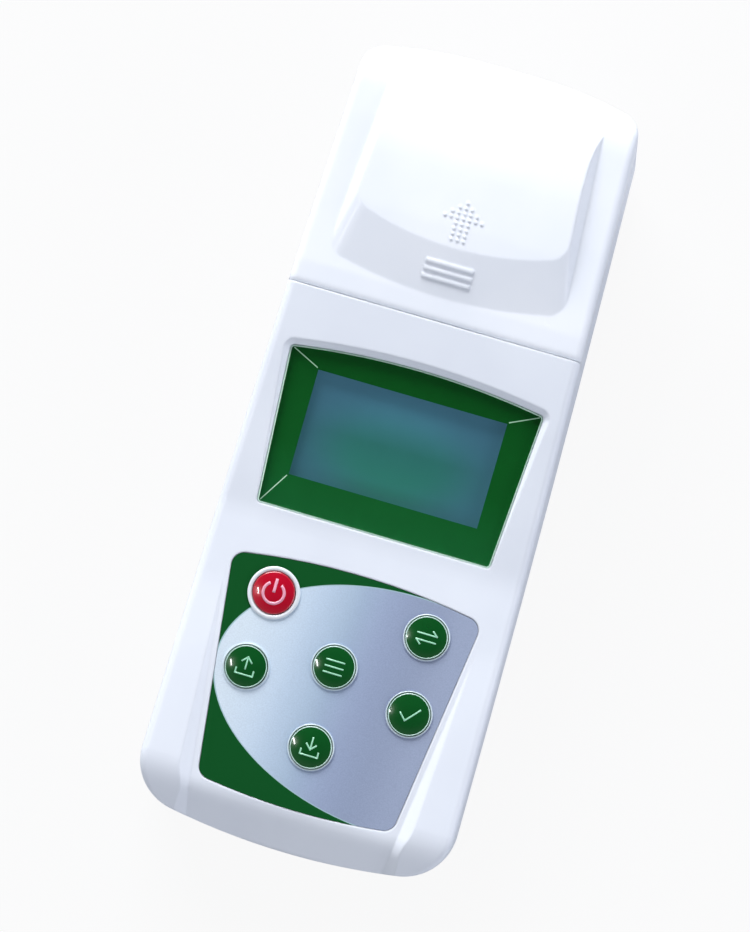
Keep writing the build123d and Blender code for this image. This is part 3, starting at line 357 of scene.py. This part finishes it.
# %% Keypad film
OVAL_CENTRE = (20.5, -66.05)
OVAL_HALF_AXES = (51.8, 31.3)
OVAL_TURN = -0.08
LINE_STARTS = (0.996, 0.998)
LINE_ENDS = (1.003, 1.005)
# the depth is divided by this, so that only the place in plan counts
FLATTENED = 1000

keypad_film = new_material("printed_polyester_film")
film_place = add(keypad_film, "ShaderNodeTexCoord").outputs["Object"]
oval = add(keypad_film, "ShaderNodeMapping", {
    "Vector": film_place, "Location": (OVAL_CENTRE[0] * MM, OVAL_CENTRE[1] * MM, 0),
    "Rotation": (0, 0, OVAL_TURN),
    "Scale": (OVAL_HALF_AXES[0] * MM, OVAL_HALF_AXES[1] * MM, FLATTENED)},
    vector_type="TEXTURE")
distance = add(keypad_film, "ShaderNodeVectorMath", {
    0: oval.outputs["Vector"]}, operation="LENGTH")
to_line = add(keypad_film, "ShaderNodeMapRange", {
    "Value": distance.outputs["Value"], "From Min": LINE_STARTS[0], "From Max": LINE_STARTS[1]})
to_green = add(keypad_film, "ShaderNodeMapRange", {
    "Value": distance.outputs["Value"], "From Min": LINE_ENDS[0], "From Max": LINE_ENDS[1]})
print("the oval border is", 2 * OVAL_HALF_AXES[0], "by", 2 * OVAL_HALF_AXES[1], "mm")

# %% [markdown]
# The silver is painted lightest at the left and even in its right half: painted light, because
# the film is flat. Its tones follow a second Mapping node, which is turned a little, because the
# light comes across the film at a slant. The ramp's CARDINAL curve runs through the tones without
# a kink, so no band shows. Tiny flakes in the ink glint a little, and these glints are painted as
# specks of colour. They are much finer in real ink: 0.35 mm here, so that they show.

# %% Brushed silver with its painted light, and the film's shader
SILVER_START = (-27, -66)
SILVER_RUN = 55
SILVER_TURN = radians(-5)
# the silver's tones are painted light: lightest where the light falls from the left
SILVER_PAINTED_LIGHT_ENDS = ("#E3F0F9", "#A6B1C9")
SILVER_PAINTED_LIGHT_BETWEEN = ((0.26, "#CFE0F0"), (0.46, "#B3C6DA"), (0.60, "#A6B4CE"), (0.80, "#9DA9C2"))
FLAKE_MM = 0.35

slant = add(keypad_film, "ShaderNodeMapping", {
    "Vector": film_place, "Location": (SILVER_START[0] * MM, SILVER_START[1] * MM, 0),
    "Rotation": (0, 0, SILVER_TURN),
    "Scale": (SILVER_RUN * MM, SILVER_RUN * MM, FLATTENED)}, vector_type="TEXTURE")
along = add(keypad_film, "ShaderNodeSeparateXYZ", {"Vector": slant.outputs["Vector"]})
silver = add(keypad_film, "ShaderNodeValToRGB", {"Fac": along.outputs["X"]})
silver.color_ramp.interpolation = "CARDINAL"
for end, code in zip(silver.color_ramp.elements, SILVER_PAINTED_LIGHT_ENDS):
    end.color = colour(code)
for position, code in SILVER_PAINTED_LIGHT_BETWEEN:
    silver.color_ramp.elements.new(position).color = colour(code)
flakes = add(keypad_film, "ShaderNodeTexNoise", {
    "Vector": film_place, "Scale": per_mm(FLAKE_MM), "Detail": 1.0})
glint = add(keypad_film, "ShaderNodeMapRange", {
    "Value": flakes.outputs["Fac"], "From Min": 0.3, "From Max": 0.7,
    "To Min": 0.95, "To Max": 1.05})
flecked = add(keypad_film, "ShaderNodeVectorMath", {
    0: silver.outputs["Color"], "Scale": glint.outputs["Result"]}, operation="SCALE")
with_line = add(keypad_film, "ShaderNodeMix", {
    "Factor": to_line.outputs["Result"], 6: flecked.outputs["Vector"], 7: colour("#A9C9CC")},
    data_type="RGBA")
with_green = add(keypad_film, "ShaderNodeMix", {
    "Factor": to_green.outputs["Result"], 6: with_line.outputs[2], 7: colour("#0E5222")},
    data_type="RGBA")
metallic = add(keypad_film, "ShaderNodeMapRange", {
    "Value": to_line.outputs["Result"], "To Min": 0.1, "To Max": 0.0})
film_shader = add(keypad_film, "ShaderNodeBsdfPrincipled", {
    "Base Color": with_green.outputs[2], "Metallic": metallic.outputs["Result"],
    "Roughness": 0.22, "Coat Weight": 0.2, "Coat Roughness": 0.08, "IOR": 1.5})
add(keypad_film, "ShaderNodeOutputMaterial", {"Surface": film_shader.outputs["BSDF"]})
print("silver tones:", len(silver.color_ramp.elements))

# %% [markdown]
# ## The keys
#
# Each key is a moulded cap with a printed disc under a drop of clear resin. The resin's surface
# is a shallow dome, so it shows the window of the room as one small bright streak. The caps come
# from the CAD model. Their gloss is a clear coat over the printed colour.

# %% Doming resin
def resin_over_print(name, tone, deep):
    """Printed colour under clear resin: a mirror-like coat over a slightly uneven tone."""
    material = new_material(name)
    place = add(material, "ShaderNodeTexCoord").outputs["Object"]
    clouds = add(material, "ShaderNodeTexNoise", {
        "Vector": place, "Scale": per_mm(6), "Detail": 2.0})
    tint = add(material, "ShaderNodeMix", {
        "Factor": clouds.outputs["Fac"], 6: colour(deep), 7: colour(tone)}, data_type="RGBA")
    shader = add(material, "ShaderNodeBsdfPrincipled", {
        "Base Color": tint.outputs[2], "Roughness": 0.2, "IOR": 1.5,
        "Coat Weight": 1.0, "Coat Roughness": 0.03, "Coat IOR": 1.5})
    add(material, "ShaderNodeOutputMaterial", {"Surface": shader.outputs["BSDF"]})
    return material


# dark wet colours with one sharp highlight each
green_resin = resin_over_print("resin_over_green_print", "#08521E", "#064A18")
red_resin = resin_over_print("resin_over_red_print", "#BE0828", "#AE0622")
# inks: flat pale colours, as glossy as the resin over them
pale_print = moulded("pale_green_ink", "#8ED6AC", "#A2E2BC", 0.4, 1.0, 0.001, coat=0.6)
pink_print = moulded("pink_ink", "#E895AC", "#F0A8BC", 0.4, 1.0, 0.001, coat=0.6)
# silver ink on the embossed rims: pale, with a soft bright edge towards the light
pressed_silver = moulded("silver_ink_rim", "#C6DAE0", "#DCEBEF", 0.3, 0.6, 0.001, coat=0.6)
rim_white = moulded("white_silver_rim", "#DCE2E6", "#ECF0F2", 0.3, 0.6, 0.001, coat=0.6)
print(len(bpy.data.materials), "materials with the keys' resin and inks")

# %% [markdown]
# ## Places on the sloping front
#
# The keypad lies on the channel floor, which leans 4 degrees, and the window leans 9.3 degrees.
# A piece is built flat, in millimetres, round its own middle, and one matrix then carries it to
# its place. The object itself stays at the origin, as the CAD nodes do.

# %% Places and pieces
CHANNEL_TILT = 4.0
CHANNEL_HEIGHT = 36.2
CHANNEL_START = -45.0
WINDOW_TILT = 9.3
WINDOW_MIDDLE = (0, 1.33, 41.94)


def leaning(place, tilt):
    """Matrix from a flat millimetre drawing to a plane that leans tilt degrees at a place."""
    move = Matrix.Translation(Vector(place) * MM)
    return move @ Matrix.Rotation(radians(tilt), 4, "X") @ Matrix.Scale(MM, 4)


def on_channel(x, y):
    """The same for the channel floor at x, y."""
    height = CHANNEL_HEIGHT + (y - CHANNEL_START) * tan(radians(CHANNEL_TILT))
    return leaning((x, y, height), CHANNEL_TILT)


def finish_piece(name, bm, place, material, body, smooth=True):
    """Turn a flat drawing into a placed object that rides on a body."""
    bmesh.ops.transform(bm, matrix=place, verts=bm.verts)
    mesh = bpy.data.meshes.new(name)
    bm.to_mesh(mesh)
    bm.free()
    mesh.materials.append(material)
    for face in mesh.polygons:
        face.use_smooth = smooth
    piece = bpy.data.objects.new(name, mesh)
    bpy.context.scene.collection.objects.link(piece)
    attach(piece, body)
    return piece


def key_middle(name):
    """Plan position of a key in millimetres, from its CAD box."""
    low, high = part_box(name)
    return (low[0] + high[0]) / 2 / MM, (low[1] + high[1]) / 2 / MM


KEY_PLAN = {
    "key_power": (-21.0, -44.2), "key_switch": (21.4, -44.2), "key_recall": (-22.6, -65.0),
    "key_menu": (0.0, -58.6), "key_confirm": (22.6, -65.0), "key_save": (0.0, -80.7)}
for name, spot in KEY_PLAN.items():
    print(name, "middle of its box", [round(v, 1) for v in key_middle(name)], "on the floor", spot)

# %% [markdown]
# ## Rims round the keys
#
# The film is embossed round each key: a low rounded ridge, bright on the side of the light. The
# ridge is a small circle swept once round the key. The power key's ridge is broad and flat.

# %% Embossed rims
GREEN_RIM = {"radius": 6.06, "width": 0.56, "rise": 0.42}
POWER_RIM = {"radius": 6.5, "width": 1.4, "rise": 0.62}
TURN_STEPS = 56


def rim(radius, width, rise):
    """Ridge round the origin: a flattened circle spun through a full turn."""
    bm = bmesh.new()
    section = bmesh.ops.create_circle(bm, segments=10, radius=0.5, cap_ends=False)
    flatten = Matrix.Diagonal((width, 1, 2 * rise, 1)) @ Matrix.Rotation(pi / 2, 4, "X")
    stand = Matrix.Translation((radius, 0, 0)) @ flatten
    bmesh.ops.transform(bm, matrix=stand, verts=section["verts"])
    bmesh.ops.spin(bm, geom=bm.verts[:] + bm.edges[:], axis=(0, 0, 1), cent=(0, 0, 0),
                   angle=2 * pi, steps=TURN_STEPS, use_merge=True)
    bmesh.ops.recalc_face_normals(bm, faces=bm.faces)
    return bm


for name, spot in KEY_PLAN.items():
    size, ink = (POWER_RIM, rim_white) if name == "key_power" else (GREEN_RIM, pressed_silver)
    finish_piece("rim_" + name, rim(**size), on_channel(*spot), ink, "case")
print(len(KEY_PLAN), "rims")

# %% [markdown]
# ## Signs on the keys
#
# The signs are plain and general: the power sign, two arrows for switching, an arrow out of a
# tray for recall, three bars for the menu, a tick to confirm and an arrow into a tray to save.
# They are thin strokes that lie on the dome. Each stroke starts as a flat grid, and all its
# points are then lifted onto the sphere of the dome.

# %% Strokes on a dome
DOME_TOP = 1.5
DOME_RADIUS = 5.7
DOME_RISE = 0.8
# radius of the ball that has a cap with this base radius and this height
DOME_BALL = (DOME_RADIUS ** 2 + DOME_RISE ** 2) / (2 * DOME_RISE)
INK_RISE = 0.03
SIGN_WIDTH = 0.42
ARC_STEPS = 28


def stroke(bm, start, end, width):
    """Straight stroke between two points, with a little length past each."""
    start, end = Vector((*start, 0)), Vector((*end, 0))
    run = end - start
    turn = Matrix.Rotation(atan2(run.y, run.x), 4, "Z")
    stretch = Matrix.Diagonal((run.length + width, width, 1, 1))
    place = Matrix.Translation((start + end) / 2) @ turn @ stretch
    bmesh.ops.create_grid(bm, x_segments=6, y_segments=1, size=0.5, matrix=place)


def arc(bm, radius, width, start, sweep):
    """Curved stroke round the origin."""
    inner = bm.verts.new((radius - width / 2, 0, 0))
    outer = bm.verts.new((radius + width / 2, 0, 0))
    edge = bm.edges.new((inner, outer))
    turn = Matrix.Rotation(start, 3, "Z")
    bmesh.ops.rotate(bm, verts=[inner, outer], cent=(0, 0, 0), matrix=turn)
    bmesh.ops.spin(bm, geom=[inner, outer, edge], axis=(0, 0, 1), cent=(0, 0, 0),
                   angle=sweep, steps=ARC_STEPS)


def lift_on_dome(bm):
    """Lay flat strokes on the key's dome, and give them the thickness of a coat of ink."""
    bmesh.ops.remove_doubles(bm, verts=bm.verts, dist=0.001)
    for vert in bm.verts:
        out = vert.co.x ** 2 + vert.co.y ** 2
        vert.co.z = DOME_TOP - DOME_BALL + sqrt(DOME_BALL ** 2 - out) + INK_RISE
    bmesh.ops.solidify(bm, geom=bm.faces[:], thickness=INK_RISE / 2)
    bmesh.ops.recalc_face_normals(bm, faces=bm.faces)


def sign_drawing(strokes, width=SIGN_WIDTH):
    """Mesh of a sign that is given as pairs of points."""
    bm = bmesh.new()
    for start, end in strokes:
        stroke(bm, start, end, width)
    return bm


print("the dome is part of a ball of", round(2 * DOME_BALL, 1), "mm")

# %% [markdown]
# Each sign is a list of strokes, in millimetres from the middle of its key. The power sign is
# one bar and one arc that leaves a gap for it. Its strokes are bolder than the others.

# %% Signs
TRAY = [((-2.4, -0.9), (-2.4, -2.2)), ((-2.4, -2.2), (2.4, -2.2)), ((2.4, -2.2), (2.4, -0.9))]
SIGNS = {
    "key_switch": [((-2.6, 0.9), (2.6, 0.9)), ((2.6, 0.9), (1.4, 2.0)),
                   ((2.6, -0.9), (-2.6, -0.9)), ((-2.6, -0.9), (-1.4, -2.0))],
    "key_recall": [((0, -0.6), (0, 2.6)), ((0, 2.6), (-1.3, 1.3)), ((0, 2.6), (1.3, 1.3))] + TRAY,
    "key_menu": [((-2.4, height), (2.4, height)) for height in (1.7, 0.0, -1.7)],
    "key_confirm": [((-2.4, 0.0), (-0.7, -1.8)), ((-0.7, -1.8), (2.6, 1.9))],
    "key_save": [((0, -0.5), (0, 2.7)), ((0, -0.5), (-1.3, 0.8)), ((0, -0.5), (1.3, 0.8))] + TRAY,
}
for name, strokes in SIGNS.items():
    bm = sign_drawing(strokes)
    lift_on_dome(bm)
    place = on_channel(*KEY_PLAN[name])
    finish_piece("sign_" + name, bm, place, pale_print, name + "_cap")

POWER_WIDTH = 0.78
POWER_RADIUS = 2.85
power_bm = sign_drawing([((0, 0.5), (0, 3.5))], POWER_WIDTH)
arc(power_bm, POWER_RADIUS, POWER_WIDTH, radians(122), radians(296))
lift_on_dome(power_bm)
place = on_channel(*KEY_PLAN["key_power"])
finish_piece("sign_key_power", power_bm, place, pink_print, "key_power_cap")
print(len(SIGNS) + 1, "signs")

# %% [markdown]
# The green of each key stops just short of the edge of the resin, which leaves a pale line round
# it. The line is one arc that goes all the way round.

# %% Pale line round each green key
BORDER_RADIUS = 5.52
BORDER_WIDTH = 0.26
# the bare cap under the resin's edge: pale, slightly green, as glossy as the resin
border_ink = moulded("pale_border_ink", "#AED4C4", "#C6E6D8", 0.35, 0.8, 0.001, coat=0.8)
for name in SIGNS:
    bm = bmesh.new()
    arc(bm, BORDER_RADIUS, BORDER_WIDTH, 0.0, 2 * pi)
    lift_on_dome(bm)
    place = on_channel(*KEY_PLAN[name])
    finish_piece("border_" + name, bm, place, border_ink, name + "_cap")
print("pale lines", BORDER_WIDTH, "mm wide")

# %% [markdown]
# ## Mitre lines of the window
#
# Fine pale lines run from the window's corners to those of the display, like the mitred corners
# of a picture frame. They are part of the print, so they lie on it, behind the clear pane.

# %% Mitre lines
MITRE_WIDTH = 0.28
MITRE_THICKNESS = 0.02
MITRE_DEPTH = 1.46
MITRES = {
    "far_left": ((-33.8, 18.4), (-26.6, 15.0)),
    "far_right": ((33.8, 18.4), (26.6, 15.0)),
    "near_left": ((-31.6, -23.0), (-26.6, -15.0)),
}
# a hair of pale green that stands out against the dark print
mitre_ink = moulded("pale_mitre_ink", "#B4E6BE", "#CDF4D4", 0.4, 1.0, 0.001, coat=0.6)
for name, ends in MITRES.items():
    bm = sign_drawing([ends], MITRE_WIDTH)
    bmesh.ops.solidify(bm, geom=bm.faces[:], thickness=MITRE_THICKNESS)
    bmesh.ops.recalc_face_normals(bm, faces=bm.faces)
    bmesh.ops.translate(bm, verts=bm.verts, vec=(0, 0, -MITRE_DEPTH))
    place = leaning(WINDOW_MIDDLE, WINDOW_TILT)
    finish_piece("mitre_" + name, bm, place, mitre_ink, "case", smooth=False)
print(len(MITRES), "mitre lines")

# %% [markdown]
# ## The window's pane
#
# The pane is clear acrylic with a narrow polished bevel round its front. The bevel gathers light,
# so it is painted as a pale green line between the print and the case: painted light. The pane
# starts as a copy of the CAD pane: flat triangles are joined, one bevel runs round the front face,
# and the back comes 0.1 mm forward, because two surfaces in exactly the same place can't both be
# drawn.

# %% Window pane
BEVEL_WIDTH = 0.4
PANE_THICKNESS = 1.5
BACK_GAP = 0.1
# the polished bevel: painted bright, a painted light for what it gathers from the whole pane
pane_edge_painted_light = moulded(
    "bevelled_acrylic_edge", "#C6E8D0", "#DAF4E0", 0.2, 1.0, 0.001, coat=0.8)
front = Vector((0, -sin(radians(WINDOW_TILT)), cos(radians(WINDOW_TILT))))
bm = bmesh.new()
bm.from_mesh(nodes["display_window"].data)
bmesh.ops.remove_doubles(bm, verts=bm.verts, dist=0.001 * MM)
bmesh.ops.dissolve_limit(bm, angle_limit=radians(0.05), verts=bm.verts, edges=bm.edges)
bm.normal_update()
top = max(vert.co.dot(front) for vert in bm.verts)
half_way = top - PANE_THICKNESS / 2 * MM
back_verts = [vert for vert in bm.verts if vert.co.dot(front) < half_way]
bmesh.ops.translate(bm, verts=back_verts, vec=front * BACK_GAP * MM)
front_faces = [face for face in bm.faces if face.normal.dot(front) > 0.999]
front_edges = [edge for face in front_faces for edge in face.edges]
bmesh.ops.bevel(bm, geom=front_edges, offset=BEVEL_WIDTH * MM, offset_type="OFFSET", segments=1,
                profile=0.5, affect="EDGES", material=1)
print("pane:", len(bm.faces), "faces, bevel", BEVEL_WIDTH, "mm wide")
still = Matrix.Identity(4)
pane = finish_piece("window_pane", bm, still, window_acrylic, "case", smooth=False)
pane.data.materials.append(pane_edge_painted_light)
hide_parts("display_window")

# %% [markdown]
# ## Table
#
# The photograph was taken on white. The table here is pale and matt, and the camera sees it glow
# a little, so that the background comes out white while the instrument's own shadow stays.

# %% Table
TABLE_HALF = 3.0
TABLE_GLOW = 0.92
ground = new_material("pale_matt_table")
path_info = add(ground, "ShaderNodeLightPath")
seen = add(ground, "ShaderNodeMath", {
    0: path_info.outputs["Is Camera Ray"], 1: TABLE_GLOW}, operation="MULTIPLY")
matt = add(ground, "ShaderNodeBsdfDiffuse", {"Color": colour("#BCBDC0")})
glow = add(ground, "ShaderNodeEmission", {"Color": (1, 1, 1, 1), "Strength": 1.0})
both = add(ground, "ShaderNodeMixShader", {
    0: seen.outputs[0], 1: matt.outputs[0], 2: glow.outputs[0]})
add(ground, "ShaderNodeOutputMaterial", {"Surface": both.outputs[0]})

bm = bmesh.new()
bmesh.ops.create_grid(bm, x_segments=1, y_segments=1, size=TABLE_HALF)
table_mesh = bpy.data.meshes.new("table_top")
bm.to_mesh(table_mesh)
bm.free()
table_mesh.materials.append(ground)
table_top = bpy.data.objects.new("table_top", table_mesh)
bpy.context.scene.collection.objects.link(table_top)
print("table of", 2 * TABLE_HALF, "by", 2 * TABLE_HALF, "m under the instrument")

# %% [markdown]
# ## Room
#
# The room is a sky that is bright at the horizon and dim overhead. Glossy dark prints mirror
# what is straight above them, so a dim ceiling keeps the greens deep.

# %% Room
HORIZON = (0.35, "#E4E9F4")
CEILING = (0.9, "#30343C")
world = bpy.data.worlds.new("studio")
world.use_nodes = True
bpy.context.scene.world = world
direction = add(world, "ShaderNodeTexCoord").outputs["Generated"]
height = add(world, "ShaderNodeSeparateXYZ", {"Vector": direction})
sky_ramp = add(world, "ShaderNodeValToRGB", {"Fac": height.outputs["Z"]})
for end, (position, code) in zip(sky_ramp.color_ramp.elements, (HORIZON, CEILING)):
    end.position = position
    end.color = colour(code)
background = world.node_tree.nodes["Background"]
world.node_tree.links.new(sky_ramp.outputs["Color"], background.inputs["Color"])
background.inputs["Strength"].default_value = 1.0
print("the sky dims between heights", HORIZON[0], "and", CEILING[0])

# %% [markdown]
# ## Lamps
#
# The window stands at the far left and low, so it rakes over the front and makes surfaces that
# face the user darker than the flat lid. A weak wide lamp on the right keeps that flank from
# going dull, and a slim one on the left gives each key its small upright highlight.

# %% Lamps
def soft_lamp(name, place, width, height, power, tone):
    """A rectangular area lamp at a place in metres, turned towards the instrument."""
    data = bpy.data.lights.new(name, "AREA")
    data.shape = "RECTANGLE"
    data.size = width
    data.size_y = height
    data.energy = power
    data.color = colour(tone)[:3]
    lamp = bpy.data.objects.new(name, data)
    bpy.context.scene.collection.objects.link(lamp)
    turned = (Vector(place) - TARGET).to_track_quat("Z", "Y").to_matrix().to_4x4()
    lamp.matrix_world = Matrix.Translation(place) @ turned


soft_lamp("window_light", (-0.50, 1.02, 0.66), 0.9, 0.6, 25.0, "#FBFCFF")
soft_lamp("fill_light", (1.0, -0.22, 0.55), 0.9, 0.6, 4.0, "#F0F3FF")
soft_lamp("slim_light", (-0.55, -0.22, 1.03), 0.18, 0.035, 0.7, "#FFFFFF")
bpy.context.scene.view_settings.view_transform = "Standard"
print(len(bpy.data.lights), "lamps")

# %% [markdown]
# ## Finishes on the CAD pieces
#
# Every CAD piece keeps its shape and place, and only its material changes. The list goes from
# material to pieces, because many small pieces share one finish.

# %% Assign finishes
FINISHES = [
    (case_abs, ["upper_case", "lower_case", "battery_door"]),
    (lid_abs, ["lid"]),
    (keypad_film, ["keypad_panel"]),
    (red_resin, ["key_power"]),
    (green_resin, ["key_switch", "key_recall", "key_menu", "key_confirm", "key_save"]),
    (window_acrylic, ["display_window"]),
    (window_print, ["display_mask"]),
    (crystal_cell, ["display_glass"]),
    (milky_acrylic, ["display_backlight"]),
    (black_abs, ["lid_liner", "lid_slide_bars", "well_collar", "sample_block", "key_switches",
                 "buzzer"]),
    (black_foam, ["well_light_seal"]),
    (black_rubber, ["rubber_feet"]),
    (zinc_steel, ["case_screws", "lid_screws", "liner_screws", "block_screws", "optics_screws",
                  "main_board_screws", "display_board_screws", "display_bezel"]),
    (nickel_sheet, ["battery_contacts", "crystal", "capacitors"]),
    (gold_can, ["photodiode"]),
    (solder_resist, ["main_board", "display_board", "lamp_board", "detector_board"]),
    (chip_epoxy, ["processor", "amplifier"]),
    (ivory_nylon, ["battery_socket", "lamp_socket", "sensor_socket"]),
    (polyimide, ["display_ribbon"]),
    (lamp_epoxy, ["lamp"]),
    (optic_glass, ["lens"]),
    (filter_glass, ["optical_filter"]),
    (red_pvc, ["battery_lead_red"]),
    (black_pvc, ["battery_lead_black", "lamp_lead"]),
    (grey_pvc, ["sensor_lead"]),
    (cell_sleeve, ["battery_1", "battery_2", "battery_3", "battery_4"]),
]
dressed = set()
for finish, names in FINISHES:
    for name in names:
        nodes[name].data.materials.clear()
        nodes[name].data.materials.append(finish)
        dressed.add(name)
print("dressed", len(dressed), "of", len(nodes), "nodes, left:", sorted(set(nodes) - dressed))
